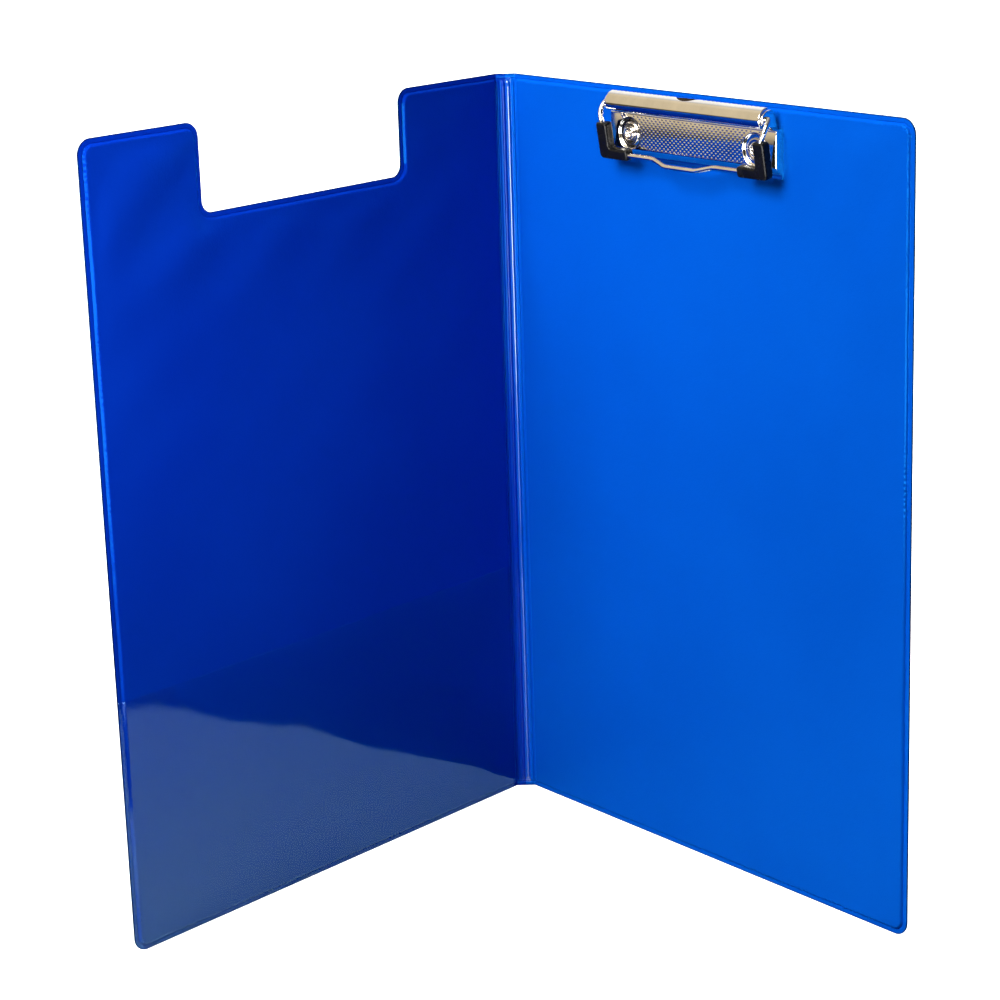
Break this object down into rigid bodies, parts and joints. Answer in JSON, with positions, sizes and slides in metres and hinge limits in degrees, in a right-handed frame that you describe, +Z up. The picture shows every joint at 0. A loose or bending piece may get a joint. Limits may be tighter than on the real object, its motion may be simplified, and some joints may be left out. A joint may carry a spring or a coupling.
{
  "type": "fold-over clipboard",
  "caption": "Fold-over clipboard: stiff covered rear panel with a wire clip, ribbed fold spine and a notched front cover with a clear inner pocket.",
  "frame": {"origin": "centre of the footprint, at the foot of the standing folder", "axes": "+Z up the folder's height; the folder stands open, its spine at the far +Y side, the rear panel with the clip at +X, the cover at -X, the free edges towards -Y"},
  "size_m": [0.3218, 0.1802, 0.34],
  "materials": {
    "blue_film": "fine-grained soft PVC film, semi-gloss, welded at its edges",
    "clear_film": "clear PVC film, glossy, slightly wavy",
    "greyboard": "plain grey stiffener board, sealed between the films",
    "plated_steel": "bright nickel plate, the base plate knurled",
    "grip_black": "moulded black vinyl, satin",
    "rivet_steel": "bright plated tubular rivets and washers"
  },
  "bodies": {
    "rear_panel": {"rear_board": "greyboard", "rear_outer_skin": "blue_film", "rear_inner_skin": "blue_film", "clip_base_plate": "plated_steel", "rivet_left": "rivet_steel", "rivet_right": "rivet_steel", "rivet_washer_left": "rivet_steel", "rivet_washer_right": "rivet_steel"},
    "spine": {"spine_outer_skin": "blue_film", "spine_inner_skin": "blue_film"},
    "front_cover": {"front_board": "greyboard", "front_outer_skin": "blue_film", "front_inner_skin": "blue_film", "clear_pocket": "clear_film"},
    "clip_lever": {"clip_jaw": "plated_steel", "clip_wire_bail": "plated_steel", "corner_grip_left": "grip_black", "corner_grip_right": "grip_black"}
  },
  "joints": [
    {"name": "spine_fold", "type": "hinge", "parent": "rear_panel", "child": "spine", "pos_m": [0.0045, 0.08975, 0.17], "axis": [0, 0, -1], "range_deg": [-41, 137]},
    {"name": "cover_fold", "type": "hinge", "parent": "spine", "child": "front_cover", "pos_m": [-0.0045, 0.08975, 0.17], "axis": [0, 0, -1], "range_deg": [-41, 137]},
    {"name": "clip_lift", "type": "hinge", "parent": "rear_panel", "child": "clip_lever", "pos_m": [0.07612, -0.00567, 0.3346], "axis": [-0.6561, 0.7547, 0], "range_deg": [0, 95]}
  ],
  "couplings": [
    {"joint": "cover_fold", "follows": "spine_fold", "ratio": 1}
  ]
}
